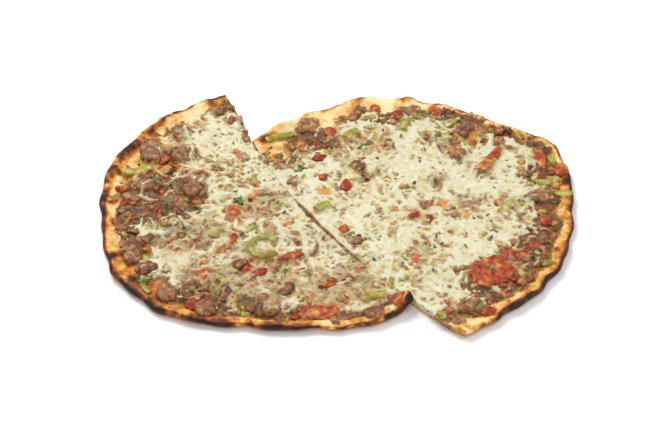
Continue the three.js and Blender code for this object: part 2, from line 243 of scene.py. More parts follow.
PEPPER_BITS = (
    (-126, 22, 10, 7, 60), (-79, 19, 8, 6, 40), (-58, 10, 8, 6, 0), (-33, 49, 10, 8, 60),
    (-107, -30, 12, 7, 10), (-12, -80, 11, 4, 57), (143, -37, 12, 5, 60), (127, -70.5, 9, 4.5, 131),
    (91, -61, 9, 8, 0), (110, 30, 10, 8, 30),
)
PARSLEY_PLACES = (
    (-62, 102), (-77, 74), (-85, 81), (-90, 55), (-77, 43), (-52, 38), (-137, 5), (-114, 53), (-1, 43),
    (45, 39), (62, 33), (100, 45), (95, 23), (-4, 63), (72, -112), (106, -90), (44, -108), (-8, -33),
    (30, -119),
)

# Kinds of smaller pieces: those above, how many more are scattered, the longest of them, and the least width
# and the height as shares of length and width
BIT_KINDS = (
    ("mince_crumbs", MEAT_BITS, 240, 6.5, 0.6, 0.45),
    ("tomato_bits", TOMATO_BITS, 125, 6.0, 0.45, 0.28),
    ("pepper_bits", PEPPER_BITS, 70, 6.0, 0.45, 0.3),
)

# The stretches of y where the cut starts and stops gaping, its width to each side, its depths on the left and
# the right, and how far layers draw back there. FREE is for layers that hang over past the other half's tip
CREASE_OPENS = (-66, -38)
CREASE_CLOSES = (11, 21)
CREASE_WIDTH = 0.75
CREASE_WIDTH_SWING = 0.4
CREASE_DEPTHS = (0.9, 0.2)
CREASE_PULL = 0.35
FREE_FADE = (4, 12)
FREE_HANG = 2.5
FREE_RAGGED = 1.5

# Numbers of the crumbs whose colours the crease and the soaked cheese take
CREASE_KIND = 0.08
SAUCE_KIND = 0.04

# Colours of crumbs by their numbers, and as they show through thin cheese
CRUMB_COLOURS = (
    (0.0, "8E3412"), (0.13, "94481C"), (0.24, "6A4228"), (0.45, "583620"),
    (0.62, "704E30"), (0.78, "927048"), (0.92, "6C6028"),
)
SOAKED_COLOURS = (
    (0.0, "AE4422"), (0.18, "BE7030"), (0.3, "9C6444"), (0.45, "6C4630"),
    (0.6, "8E7050"), (0.74, "B49450"), (0.88, "80803C"),
)

# Finishes of pieces: roughness, size and reach of fine and coarse mottling, share of cheese on them, relief,
# and colours from dark to light
MOTTLED = {
    "meat": (0.3, (1.4, 0.16), (3.6, 0.26), 0.35, 0.3, (
        (0.0, "2C180C"), (0.25, "5E3418"), (0.5, "865028"), (0.75, "A47242"), (1.0, "CAA272"),
    )),
    "tomato": (0.25, (1.6, 0.1), (5.0, 0.34), 0.18, 0.3, (
        (0.0, "6A1808"), (0.3, "9C2E0A"), (0.55, "B04812"), (0.8, "BE6C28"), (1.0, "CE9C58"),
    )),
    "pepper": (0.28, (1.4, 0.16), (5.0, 0.36), 0.36, 0.15, (
        (0.0, "746C1E"), (0.3, "928A2E"), (0.6, "AAA240"), (0.85, "C0B864"), (1.0, "D2CA94"),
    )),
}

# The floor, the world and the lights, in metres and watts: name, place, size and power
FLOOR_HALF = 4.0
FLOOR_DROP = 0.0002
WORLD_STRENGTH = 0.45
LIGHTS = (
    ("key", (-0.1, 0.75, 1.1), 0.5, 11.0),
    ("fill", (-0.6, -0.6, 1.0), 1.0, 4.0),
    ("side", (0.9, -0.4, 0.6), 0.8, 4.0),
)

# The camera, as the photograph was taken
CAMERA_ELEVATION = 41.0
CAMERA_AZIMUTH = -32.77
CAMERA_DISTANCE = 1157.0
CAMERA_TARGET = (-9.8, -0.9)
CAMERA_LENS = 101.1
CAMERA_SENSOR = 36.0


# Curves and noise over the plan
def ease(low, high, value):
    """0 up to low, 1 from high on, and a smooth step between them."""
    t = np.clip((value - low) / (high - low), 0.0, 1.0)
    return t * t * (3.0 - 2.0 * t)


def spline(values, share):
    """Smooth curve through evenly spaced values, read at a share from 0 to 1."""
    values = np.asarray(values, float)
    last = len(values) - 1
    place = np.clip(share, 0.0, 1.0) * last
    i = np.minimum(place.astype(int), last - 1)
    t = place - i
    start, end = values[i], values[i + 1]
    slope_in = (end - values[np.maximum(i - 1, 0)]) / 2
    slope_out = (values[np.minimum(i + 2, last)] - start) / 2
    cubic = 2 * (start - end) + slope_in + slope_out
    square = 3 * (end - start) - 2 * slope_in - slope_out
    return ((cubic * t + square) * t + slope_in) * t + start


def noise(x, y, size, seed):
    """Smooth noise from -1 to 1, with lumps of about the given size."""
    lattice = np.random.default_rng(seed).uniform(-1.0, 1.0, (LATTICE, LATTICE))
    u, v = x / size, y / size
    i, j = np.floor(u).astype(int), np.floor(v).astype(int)
    s, t = ease(0, 1, u - i), ease(0, 1, v - j)
    i, j = i % LATTICE, j % LATTICE
    beside, above = (i + 1) % LATTICE, (j + 1) % LATTICE
    low = lattice[i, j] * (1 - s) + lattice[beside, j] * s
    high = lattice[i, above] * (1 - s) + lattice[beside, above] * s
    return low * (1 - t) + high * t


def lumps(x, y, size, seed):
    """Noise with finer and weaker noise on it."""
    return sum(noise(x, y, size / 2**k, seed + k) / 2**k for k in range(OCTAVES))


def noise_3d(points, size, seed):
    x, y, z = points.T
    planes = noise(x, y, size, seed) + noise(y, z, size, seed + 1) + noise(z, x, size, seed + 2)
    return planes / 2


def cells(points, size, seed):
    """Lumps side by side: 1 in the middle of each, about 0 between them, and a number for each."""
    dimensions = points.shape[-1]
    shape = (CELL_LATTICE,) * dimensions
    rng = np.random.default_rng(seed)
    jitter = rng.random(shape + (dimensions,))
    own = rng.random(shape)
    place = points / size
    base = np.floor(place).astype(int)
    nearest = np.full(points.shape[:-1], np.inf)
    number = np.zeros(points.shape[:-1])
    for step in itertools.product((-1, 0, 1), repeat=dimensions):
        cell = base + step
        index = tuple(np.moveaxis(cell % CELL_LATTICE, -1, 0))
        far = np.linalg.norm(cell + jitter[index] - place, axis=-1)
        closer = far < nearest
        nearest = np.where(closer, far, nearest)
        number = np.where(closer, own[index], number)
    return 1 - CELL_STEEPNESS * nearest**2, number


# The two halves
def cut_x(y):
    return CUT_X + CUT_BOW * (y / CUT_HALF_LENGTH) ** 2


def at_angle(steps, angle):
    """A value of the rim, given in even steps of angle from tip to tip."""
    return spline(steps, angle / np.pi + 0.5)


@dataclass
class Half:
    """One half of the bread. Values of its rim run in even steps of angle from the front tip to the back tip:
    burn is how dark its outer face is, char how far the dark reaches onto its top, bake how brown the rest
    of the top is, and bare how wide it is without topping. folds are pleats: angle, drop and reach."""

    name: str
    side: int
    middle_y: float
    radii: tuple
    phases: tuple
    tip_curl: float
    burn: tuple
    char: tuple
    bake: tuple
    bare: tuple
    folds: tuple

    def __post_init__(self):
        self.shift = np.zeros(2)
        self.shift = self.shift_to_solid()

    def wave(self, turns, angle):
        return sum(np.sin(n * angle + phase) for n, phase in zip(turns, self.phases)) / len(turns)

    def rim_radius(self, angle):
        return at_angle(self.radii, angle) + OUTLINE_WAVE * self.wave(OUTLINE_TURNS, angle)

    def plan(self, angle, radius, recess=0.0):
        y = self.middle_y + radius * np.sin(angle)
        x = cut_x(y) + self.side * (radius * np.cos(angle) + KERF / 2 + recess)
        return x + self.shift[0], y + self.shift[1]

    def polar(self, x, y):
        across = self.across(x, y)
        along = y - self.shift[1] - self.middle_y
        return np.arctan2(along, across), np.hypot(across, along)

    def across(self, x, y):
        """Distance from the half's own side of the cut."""
        return self.side * (x - self.shift[0] - cut_x(y - self.shift[1])) - KERF / 2

    def shift_to_solid(self):
        """How far the solid lies from the outline: across by their outer ends, along by their middles."""
        angle = np.linspace(-np.pi / 2, np.pi / 2, RIM_COLUMNS)
        x, y = self.plan(angle, self.rim_radius(angle))
        low, high = (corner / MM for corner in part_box(f"crust_{self.name}"))
        across = high.x - x.max() if self.side > 0 else low.x - x.min()
        return np.array((across, (low.y + high.y - y.min() - y.max()) / 2))

    def curl(self, angle):
        from_tip = (angle + np.pi / 2) * self.radii[0]
        return self.tip_curl * np.exp(-((from_tip / TIP_CURL_REACH) ** 2))

    def fold(self, angle):
        """Pleats: the rim drops at once and comes back slowly."""
        total = np.zeros_like(angle)
        for at, drop, reach in self.folds:
            past = np.degrees(angle) - at
            total += drop * ease(-FOLD_EDGE, FOLD_EDGE, past) * np.exp(-np.maximum(past, 0) / reach)
        return total

    def rise(self, angle):
        waves = RIM_RISE_WAVE * self.wave(RISE_TURNS, angle)
        return RIM_RISE + waves + self.curl(angle) + self.fold(angle)

    def lift(self, angle):
        waves = RIM_LIFT_WAVE * self.wave(LIFT_TURNS, angle)
        return RIM_LIFT + waves + TIP_LIFT_SHARE * self.curl(angle)


LEFT = Half(
    "left", -1, 17.5,
    radii=(119, 122, 119, 118, 124, 128, 129, 127, 129, 135, 132, 127, 120),
    phases=(0.4, 1.9, 0.3),
    tip_curl=4.5,
    burn=(0.95, 0.7, 0.6, 0.6, 0.6, 0.6, 0.6, 0.6, 0.8, 0.95, 0.9, 0.55, 0.7),
    char=(3.0, 0.6, 0.4, 0.4, 0.5, 0.8, 1.6, 1.8, 4.2, 8.0, 8.5, 3.6, 2.4),
    bake=(0.2, 0.18, 0.2, 0.26, 0.34, 0.42, 0.42, 0.22, 0.13, 0.12, 0.09, 0.02, 0.2),
    bare=(7, 5, 5, 6, 8, 11, 13, 12, 11, 11, 11, 9, 6),
    folds=((1.5, -1.6, 6), (19, -1.8, 5), (31, -1.2, 4)),
)
RIGHT = Half(
    "right", 1, -25.5,
    radii=(113, 116, 123, 133, 142, 158, 171, 160, 152, 144, 131, 119, 110),
    phases=(2.6, 0.7, 2.1),
    tip_curl=0.5,
    burn=(0.6, 0.85, 0.9, 0.55, 0.4, 0.4, 0.45, 0.5, 0.6, 0.45, 0.4, 0.4, 0.6),
    char=(1.6, 1.6, 1.4, 1.2, 1.2, 1.4, 1.8, 1.6, 1.8, 1.0, 0.8, 0.8, 1.4),
    bake=(0.1, 0.12, 0.14, 0.18, 0.22, 0.25, 0.24, 0.12, -0.02, -0.06, 0.0, 0.07, 0.1),
    bare=(13, 9, 8, 8, 9, 9, 5, 3, 8, 9, 11, 13, 13),
    folds=((-41, 1.5, 3), (-17, -1.5, 4)),
)
HALVES = (LEFT, RIGHT)
FREE_BACK_Y = RIGHT.middle_y + RIGHT.radii[-1]
FREE_FRONT_Y = LEFT.middle_y - LEFT.radii[0]


def past_cut(x, y):
    """Distance to the right of the cut's middle line."""
    return x - LEFT.shift[0] - cut_x(y - LEFT.shift[1])


# The rim's section: heights of the dough's two faces
def blisters(x, y, level):
    """Rounded blisters, where noise rises above a level."""
    return np.maximum(noise(x, y, BLISTER_SIZE, 14) - level, 0)


def dough_top(half, angle, inset, x, y):
    crest = np.sqrt(np.clip(1 - ((CREST_INSET - inset) / CREST_INSET) ** 2, 0, 1))
    outer = EDGE_SHARE + (1 - EDGE_SHARE) * crest
    share = np.where(inset < CREST_INSET, outer, 1 - ease(CREST_INSET, FOOT_INSET, inset))
    on_rim = 1 - ease(*RIM_RELIEF_FADE, inset)
    relief = on_rim * (RIM_RELIEF * lumps(x, y, 11, 11) + RIM_FINE_RELIEF * lumps(x, y, 4.5, 12))
    relief += (1 - on_rim) * FLAT_RELIEF * lumps(x, y, 9, 13)
    blistered = blisters(x, y, 0.45) * (0.5 + 1.5 * on_rim)
    return DOUGH + share * half.rise(angle) + relief + blistered


def dough_under(half, angle, inset):
    share = np.clip(1 - inset / LIFT_INSET, 0, 1) ** LIFT_BEND
    return share * half.lift(angle)


# Fields over the plan, on an even grid
grid_low = np.array(cad_box[0][:2]) / MM - GRID_MARGIN
grid_high = np.array(cad_box[1][:2]) / MM + GRID_MARGIN
grid_x, grid_y = np.meshgrid(
    np.arange(grid_low[0], grid_high[0], GRID_STEP),
    np.arange(grid_low[1], grid_high[1], GRID_STEP),
)


def grid_lumps(size, seed):
    return lumps(grid_x, grid_y, size, seed)


def sample(field, x, y):
    """A field's value between the grid's points."""
    u = np.clip((x - grid_low[0]) / GRID_STEP, 0, field.shape[1] - 1.001)
    v = np.clip((y - grid_low[1]) / GRID_STEP, 0, field.shape[0] - 1.001)
    i, j = u.astype(int), v.astype(int)
    s, t = u - i, v - j
    low = field[j, i] * (1 - s) + field[j, i + 1] * s
    high = field[j + 1, i] * (1 - s) + field[j + 1, i + 1] * s
    return low * (1 - t) + high * t


def window(x, y, reach):
    """The part of the grid within reach of a place."""
    i = int((x - reach - grid_low[0]) / GRID_STEP)
    j = int((y - reach - grid_low[1]) / GRID_STEP)
    count = int(2 * reach / GRID_STEP) + 2
    return slice(max(j, 0), j + count), slice(max(i, 0), i + count)


def blurred(field, reach):
    steps = np.arange(-3 * reach, 3 * reach + GRID_STEP / 2, GRID_STEP)
    weights = np.exp(-((steps / reach) ** 2) / 2)
    weights /= weights.sum()
    for _ in range(2):
        field = np.array([np.convolve(row, weights, mode="same") for row in field]).T
    return field


def placed(rows):
    """Rows that start with a place in the outline's plan, moved to where the solids lie."""
    rows = np.array(rows, float)
    rows[:, :2] += LEFT.shift
    return rows


def spots(places, softness):
    """A field that is 1 inside round spots and 0 away from them, with uneven edges."""
    uneven = SPOT_UNEVENNESS * grid_lumps(9, 31)
    field = np.zeros_like(grid_x)
    for x, y, radius in placed(places):
        away = np.hypot(grid_x - x, grid_y - y) + uneven
        field = np.maximum(field, 1 - ease(radius - softness, radius + softness, away))
    return field


def over_halves(value_at):
    """A field with each half's own value, from its angles and radii."""
    return np.where(on_left, *(value_at(half, *half.polar(grid_x, grid_y)) for half in HALVES))


on_left = past_cut(grid_x, grid_y) < 0
left_share = on_left.astype(float)
from_cut = np.abs(past_cut(grid_x, grid_y)) - KERF / 2
inset_field = over_halves(lambda half, angle, radius: half.rim_radius(angle) - radius)
dough_field = over_halves(lambda half, angle, radius: dough_top(half, angle, inset_field, grid_x, grid_y))
in_outline = inset_field > 0

# How far the cheese and the filling cover the bread
from_topping = inset_field - over_halves(lambda half, angle, radius: at_angle(half.bare, angle))
cheese_cover = ease(*CHEESE_FADE, from_topping + CHEESE_RAGGED * grid_lumps(14, 41))
cheese_cover *= 1 - 0.93 * spots(CHEESE_GAPS, 5)
cheese_cover = np.maximum(cheese_cover, 0.9 * spots(MORE_CHEESE, 5))
filling_cover = ease(*FILLING_FADE, from_topping + FILLING_RAGGED * grid_lumps(9, 21))
filling_cover *= 1 - spots(BARE_DOUGH, 4)


# The cut's edge
def crease(y):
    """1 along the stretch of the cut that gapes, and 0 elsewhere."""
    return ease(*CREASE_OPENS, y) * (1 - ease(*CREASE_CLOSES, y))


def hang(half, y):
    """Share of their overhang that layers hang over the cut: less in the crease, more where it lies free."""
    past = y - FREE_BACK_Y if half is LEFT else FREE_FRONT_Y - y
    free = ease(*FREE_FADE, past) * (FREE_HANG + FREE_RAGGED * lumps(y, y, 5, 81))
    return 1 - CREASE_PULL * crease(y) + free


crease_width = CREASE_WIDTH + CREASE_WIDTH_SWING * noise(grid_y, grid_y, 5, 82)
cut_edge = crease(grid_y) * (1 - ease(0, crease_width, from_cut))


# Pieces that keep a solid's form: the highest point of each over the plan
def piece_nodes(kind):
    return sorted(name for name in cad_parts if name.startswith(kind))


def read_triples(items, key, kind=float):
    values = np.empty(len(items) * 3, kind)
    items.foreach_get(key, values)
    return values.reshape(-1, 3)


def mesh_arrays(mesh):
    mesh.calc_loop_triangles()
    return read_triples(mesh.vertices, "co") / MM, read_triples(mesh.loop_triangles, "vertices", int)


def stamp_solids(*kinds):
    """Height of the solids' upper side over the plan, and 0 where there is none."""
    field = np.zeros_like(grid_x)
    shares = np.linspace(0, 1, STAMP_POINTS)
    a, b = (part.ravel() for part in np.meshgrid(shares, shares))
    inside = a + b <= 1
    weights = np.stack((a[inside], b[inside], 1 - a[inside] - b[inside]))
    for name in (name for kind in kinds for name in piece_nodes(kind)):
        points, faces = mesh_arrays(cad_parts[name].data)
        spread = np.einsum("kn,fkc->fnc", weights, points[faces]).reshape(-1, 3)
        i = ((spread[:, 0] - grid_low[0]) / GRID_STEP).astype(int)
        j = ((spread[:, 1] - grid_low[1]) / GRID_STEP).astype(int)
        np.maximum.at(field, (j, i), spread[:, 2])
    return field


def soft_cover(heights, reach):
    """1 where heights are above 0, and 0 away from there."""
    return blurred((heights > 0).astype(float), reach)


solids_field = stamp_solids("meat", "tomato", "pepper")
solids_cover = soft_cover(solids_field, 0.8)
pepper_cover = soft_cover(stamp_solids("pepper"), 0.6)
tomato_cover = soft_cover(stamp_solids("tomato"), 0.6)

# The filling: crumbs of mince packed together, piled against the larger pieces and broken up towards the rim
uneven_x = grid_x + CRUMB_RAGGED * grid_lumps(3, 24)
uneven_y = grid_y + CRUMB_RAGGED * grid_lumps(3, 27)
uneven_plan = np.stack((uneven_x, uneven_y), axis=-1)
crumb_bump, crumb_number = cells(uneven_plan, CRUMB_SIZE, 22)
buried_bump, buried_number = cells(uneven_plan, BURIED_SIZE, 28)
filling_bumps = 0.5 + 0.6 * crumb_bump + 0.2 * grid_lumps(7, 23)
filling_field = dough_field + FILLING_THICKNESS * filling_cover * filling_bumps - 0.5 * (1 - filling_cover)
piled = blurred(np.maximum(solids_field - PILE_DROP, filling_field), PILE_REACH) + 0.5 * (crumb_bump - 0.5)
piled -= 0.5 * tomato_cover
on_flat = ease(1, 7, from_topping)
heaped = np.maximum(filling_field, piled - 4 * (1 - on_flat))
filling_field = np.where(on_flat > 0, heaped, filling_field)
filling_field -= np.where(on_left, *CREASE_DEPTHS) * cut_edge
ground_field = np.maximum(filling_field, dough_field)


# Random places and small lumps
def scatter(rng, count, chance):
    """Random places, drawn more often where the chance field is high."""
    low, high = grid_low, grid_high - 2 * GRID_STEP
    found = np.empty((0, 2))
    while len(found) < count:
        tries = rng.uniform(low, high, (4 * count, 2))
        keep = rng.random(len(tries)) < sample(chance, tries[:, 0], tries[:, 1])
        found = np.concatenate((found, tries[keep]))
    return found[:count]


def random_rows(rng, count, chance, longest, slimness):
    """Rows of x, y, length, width and turn, clear of the cut and the rim's edge."""
    places = scatter(rng, count, chance)
    length = BIT_SHORTEST + (longest - BIT_SHORTEST) * rng.random(count) ** 2
    width = length * rng.uniform(slimness, 1, count)
    rows = np.column_stack((places, length, width, rng.uniform(0, 180, count)))
    clear_of_cut = np.abs(past_cut(*places.T)) > length / 2 + KERF
    return rows[clear_of_cut & (sample(inset_field, *places.T) > length / 2)]


def stamp_domes(field, rows, heights, scale=1.0):
    """Raises a field to the domes of small pieces."""
    raised = field.copy()
    for (x, y, length, width, turn), height in zip(rows, heights):
        reach = scale * length / 2
        area = window(x, y, reach)
        dx, dy = grid_x[area] - x, grid_y[area] - y
        c, s = math.cos(math.radians(turn)), math.sin(math.radians(turn))
        far = ((c * dx + s * dy) / reach) ** 2 + ((c * dy - s * dx) / (scale * width / 2)) ** 2
        dome = sample(field, np.array(x), np.array(y)) + height * np.sqrt(np.clip(1 - far, 0, 1))
        raised[area] = np.where(far < 1, np.maximum(raised[area], dome), raised[area])
    return raised


open_ring = ease(-3, 2, from_topping) * (1 - 0.98 * cheese_cover)
away_from_bare = 1 - 0.8 * spots(BARE_DOUGH, 4)
chance_of_bits = open_ring * away_from_bare * (1 - 0.9 * solids_cover) * in_outline
bit_rng = np.random.default_rng(5)
bits = {}
bits_field = ground_field
for name, given, count, longest, slimness, height_share in BIT_KINDS:
    scattered = random_rows(bit_rng, count, chance_of_bits, longest, slimness)
    rows = np.concatenate((placed(given), scattered))
    heights = height_share * np.minimum(rows[:, 3], BIT_WIDEST)
    bits_field = stamp_domes(bits_field, rows, BIT_DOME_SHARE * heights)
    bits[name] = rows, heights


# Melted cheese: gratings run together, thin or open over some of the pieces
def stamp_strand(field, tints, points, width, height, tint):
    """Adds a rounded strand along points to a thickness field, and its tint where it is on top."""
    middle = points.mean(axis=0)
    reach = np.abs(points - middle).max() + width
    area = window(*middle, reach)
    x, y = grid_x[area], grid_y[area]
    nearest = np.full(x.shape, np.inf)
    for (x0, y0), (x1, y1) in itertools.pairwise(points):
        dx, dy = x1 - x0, y1 - y0
        t = np.clip(((x - x0) * dx + (y - y0) * dy) / (dx * dx + dy * dy), 0, 1)
        nearest = np.minimum(nearest, np.hypot(x - x0 - t * dx, y - y0 - t * dy))
    added = height * np.sqrt(np.clip(1 - (nearest / width) ** 2, 0, 1))
    tints[area] = np.where(added > 0.6 * field[area], tint, tints[area])
    field[area] = np.cbrt(field[area] ** 3 + added**3)


def strand_line(rng, x, y):
    length = rng.uniform(*STRAND_LENGTH)
    turn = rng.uniform(0, math.pi)
    bend = rng.normal(0, STRAND_BEND * length)
    wiggle = rng.normal(0, STRAND_WIGGLE * length)
    t = np.linspace(-1, 1, STRAND_POINTS)
    along = t * length / 2
    beside = bend * (1 - t * t) + wiggle * np.sin(math.pi * t)
    c, s = math.cos(turn), math.sin(turn)
    return np.column_stack((x + c * along - s * beside, y + s * along + c * beside))


def lay_strands():
    rng = np.random.default_rng(8)
    thickness = np.zeros_like(grid_x)
    tints = np.full_like(grid_x, 0.5)
    for x, y in scatter(rng, STRAND_COUNT, cheese_cover * in_outline):
        width = rng.uniform(*STRAND_WIDTH)
        height = STRAND_HEIGHT * rng.uniform(0.7, 1.1)
        stamp_strand(thickness, tints, strand_line(rng, x, y), width, height, rng.random())
    return thickness, tints


def string_field():
    field = np.zeros_like(grid_x)
    for points in STRINGS:
        stamp_strand(field, np.zeros_like(field), placed(points), STRING_WIDTH, STRING_HEIGHT, 0.0)
    return field


def shown_bits():
    """A field that is 1 over the small pieces that show through the cheese."""
    field = np.zeros_like(grid_x)
    for rows, _ in bits.values():
        field = np.maximum(field, stamp_domes(np.zeros_like(grid_x), rows, np.ones(len(rows)), 1.1))
    return blurred(np.minimum(field * 1.5, 1), 0.4)


strands_field, tint_field = lay_strands()
shown = np.maximum(solids_cover, shown_bits())
thin = spots(THIN_CHEESE, 8)
strands_field *= 1 - shown * (0.42 + 0.45 * grid_lumps(7, 43)) - 0.35 * thin * (1 - shown)
strands_field *= 1 - 0.7 * pepper_cover - 0.5 * tomato_cover
film = FILM + 0.42 * grid_lumps(4.5, 42) + 0.26 * grid_lumps(20, 44) - 0.42 * thin - 0.15 * on_left
film = np.clip(film, np.where(on_left, *FILM_LEAST), 1) * cheese_cover * (1 - shown)
thickness_field = np.maximum(np.cbrt(strands_field**3 + film**3), string_field())
thickness_field = np.where(on_left, *(blurred(thickness_field, reach) for reach in MELT_REACH))
thickness_field += 0.1 * noise(grid_x, grid_y, 1.3, 45) * ease(0, 0.3, thickness_field)
thickness_field *= 1 - 0.95 * cut_edge
thickness_field *= ease(CHEESE_EDGE, CHEESE_EDGE + CHEESE_TAPER, inset_field)
pieces_field = np.maximum(bits_field, np.where(solids_field > 0, solids_field + SWELL, 0))
draped_field = np.maximum(ground_field, blurred(pieces_field, DRAPE_REACH))
cheese_field = draped_field + thickness_field - CHEESE_DIP
cheese_field = np.where(thickness_field < CHEESE_LEAST, ground_field - 1.0, cheese_field)
surface_field = np.maximum(ground_field, cheese_field)


# Meshes from rows of points
def shares_along(places):
    """Places along a row as shares from 0 to 1."""
    return (places - places[0]) / (places[-1] - places[0]) if len(places) > 1 else np.zeros(1)


def stitch(row_a, at_a, row_b, at_b):
    """Triangles between two rows of point numbers, stepped along by their places from start to end."""
    at_a, at_b = shares_along(at_a), shares_along(at_b)
    steps_a = np.concatenate((np.ones(len(at_a) - 1, bool), np.zeros(len(at_b) - 1, bool)))
    order = np.argsort(np.concatenate((at_a[1:], at_b[1:])), kind="stable")
    steps_a = steps_a[order]
    a = np.cumsum(steps_a) - steps_a
    b = np.cumsum(~steps_a) - ~steps_a
    next_a = row_a[np.minimum(a + 1, len(row_a) - 1)]
    next_b = row_b[np.minimum(b + 1, len(row_b) - 1)]
    return np.column_stack((row_a[a], row_b[b], np.where(steps_a, next_a, next_b)))


def stitch_evenly(row_a, row_b):
    return stitch(row_a, np.linspace(0, 1, len(row_a)), row_b, np.linspace(0, 1, len(row_b)))


def numbered(rows, start):
    """Point numbers of rows that follow each other."""
    ends = start + np.cumsum([len(row) for row in rows])
    return np.split(np.arange(start, ends[-1]), ends[:-1] - start)


def cut_line(numbers):
    """Point numbers along the cut, from the front tip over the middle to the back tip."""
    outer = numbers[1:]
    return np.array([row[0] for row in reversed(outer)] + [numbers[0][0]] + [row[-1] for row in outer])


def slab(half, top, under):
    """Closed mesh between two lists of rows, each running from the middle of the cut outwards."""
    points = np.concatenate(top + under)
    top_numbers = numbered(top, 0)
    under_numbers = numbered(under, top_numbers[-1][-1] + 1)
    faces = [stitch_evenly(a, b) for a, b in itertools.pairwise(top_numbers)]
    faces += [stitch_evenly(a, b)[:, ::-1] for a, b in itertools.pairwise(under_numbers)]
    faces.append(stitch_evenly(top_numbers[-1], under_numbers[-1]))
    low, high = cut_line(under_numbers), cut_line(top_numbers)
    faces.append(stitch(low, points[low, 1], high, points[high, 1]))
    faces = np.concatenate(faces)
    return points, faces if half.side > 0 else faces[:, ::-1]


def row(half, count, radius_at, height_at, overhang=0.0):
    """One row of points from the front tip to the back tip, whose ends may hang over the cut."""
    angle = np.linspace(-np.pi / 2, np.pi / 2, count + 1)
    radius = radius_at(angle)
    y = half.middle_y + radius * np.sin(angle)
    x, y = half.plan(angle, radius, -overhang * hang(half, y))
    return np.column_stack((x, y, height_at(angle, x, y)))


def middle_row(half, z, overhang=0.0):
    x, y = half.plan(0.0, 0.0, -overhang * hang(half, half.middle_y))
    return np.array([[x, y, z]])


def field_rows(half, edge, spacing, field, overhang):
    """Rows over a half out to a distance from its rim, with heights from a field."""
    reach = float(np.mean(half.radii)) - edge
    count = round(reach / spacing)
    heights = lambda angle, x, y: sample(field, x, y)
    x, y = half.plan(0.0, 0.0)
    rows = [middle_row(half, sample(field, np.array(x), np.array(y)), overhang)]
    for k in range(1, count + 1):
        columns = max(4, round(math.pi * reach * k / count / spacing))
        radius_at = lambda angle: (half.rim_radius(angle) - edge) * k / count
        rows.append(row(half, columns, radius_at, heights, overhang))
    return rows


def level_rows(half, edge, steps, z, overhang=0.0):
    """Rows at one height: at shares of the way to a distance from the rim, with numbers of columns."""
    level = lambda angle, x, y: np.full_like(x, z)
    rows = [middle_row(half, z, overhang)]
    for share, columns in steps:
        radius_at = lambda angle: (half.rim_radius(angle) - edge) * share
        rows.append(row(half, columns, radius_at, level, overhang))
    return rows


def under_rows(half, edge, columns, z, overhang=0.0):
    steps = [(share, max(8, round(columns * share))) for share in UNDER_SHARES]
    return level_rows(half, edge, steps, z, overhang)


# Pieces and their attributes
def new_object(name, data):
    thing = bpy.data.objects.new(name, data)
    bpy.context.scene.collection.objects.link(thing)
    return thing


def new_piece(name, points, faces, values, finish, replaced=()):
    """Makes a piece from points in millimetres, with one number of each kind for each point."""
    mesh = bpy.data.meshes.new(name)
    mesh.from_pydata((points * MM).tolist(), [], faces.tolist())
    for key, numbers in values.items():
        attribute = mesh.attributes.new(key, "FLOAT", "POINT")
        attribute.data.foreach_set("value", np.asarray(numbers, np.float32))
    mesh.shade_smooth()
    mesh.materials.append(finish)
    piece = new_object(name, mesh)
    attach(piece, "root")
    if replaced:
        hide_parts(*replaced)


# Finishes
def tone(code):
    """A colour written as six hexadecimal digits, as the shader takes it."""
    shares = (int(code[i:i + 2], 16) / 255 for i in (0, 2, 4))
    return tuple(s / 12.92 if s < 0.04045 else ((s + 0.055) / 1.055) ** 2.4 for s in shares) + (1.0,)


class Finish:
    """A material and short ways to add nodes to it."""

    def __init__(self, name, roughness, specular=0.5):
        self.material = bpy.data.materials.new(name)
        self.material.use_nodes = True
        self.tree = self.material.node_tree
        self.shader = self.tree.nodes["Principled BSDF"]
        self.shader.inputs["Roughness"].default_value = roughness
        self.shader.inputs["Specular IOR Level"].default_value = specular
        self.place = self.tree.nodes.new("ShaderNodeTexCoord").outputs["Object"]

    def set(self, socket, value):
        """Gives an input a number or colour, another node's output, or a piece's own values by their name."""
        if isinstance(value, str):
            value = self.node("Attribute", attribute_name=value).outputs["Fac"]
        if isinstance(value, bpy.types.NodeSocket):
            self.tree.links.new(value, socket)
        else:
            socket.default_value = value

    def node(self, kind, inputs=None, **settings):
        """A new node with its settings, and with its inputs by name or number."""
        node = self.tree.nodes.new("ShaderNode" + kind)
        for key, value in settings.items():
            setattr(node, key, value)
        for key, value in (inputs or {}).items():
            self.set(node.inputs[key], value)
        return node

    def noise(self, size, detail=2.0):
        """Noise from about 0 to 1, with lumps of a size in millimetres."""
        node = self.node("TexNoise", {"Vector": self.place, "Scale": 1 / (size * MM), "Detail": detail})
        return self.spread(node.outputs["Fac"], -0.75, 1.75)

    def swing(self, size, reach, detail=2.0):
        """Noise that swings as far below 0 as above it."""
        return self.spread(self.noise(size, detail), -reach, reach)

    def math(self, operation, a, b):
        return self.node("Math", {0: a, 1: b}, operation=operation).outputs[0]

    def add(self, a, b):
        return self.math("ADD", a, b)

    def spread(self, value, low, high):
        """A value from 0 to 1 stretched to run from low to high."""
        inputs = {"Value": value, "To Min": low, "To Max": high}
        return self.node("MapRange", inputs, clamp=False).outputs["Result"]

    def ramp(self, value, stops):
        node = self.node("ValToRGB", {"Fac": value})
        elements = node.color_ramp.elements
        while len(elements) < len(stops):
            elements.new(0.5)
        for element, (place, code) in zip(elements, stops):
            element.position = place
            element.color = tone(code)
        return node.outputs["Color"]

    def mix(self, share, a, b):
        return self.node("Mix", {0: share, 6: a, 7: b}, data_type="RGBA").outputs[2]

    def colour(self, value):
        self.set(self.shader.inputs["Base Color"], value)

    def bump(self, height, distance):
        """Fine relief of a height in millimetres."""
        node = self.node("Bump", {"Distance": distance * MM, "Strength": 1.0, "Height": height})
        self.set(self.shader.inputs["Normal"], node.outputs["Normal"])


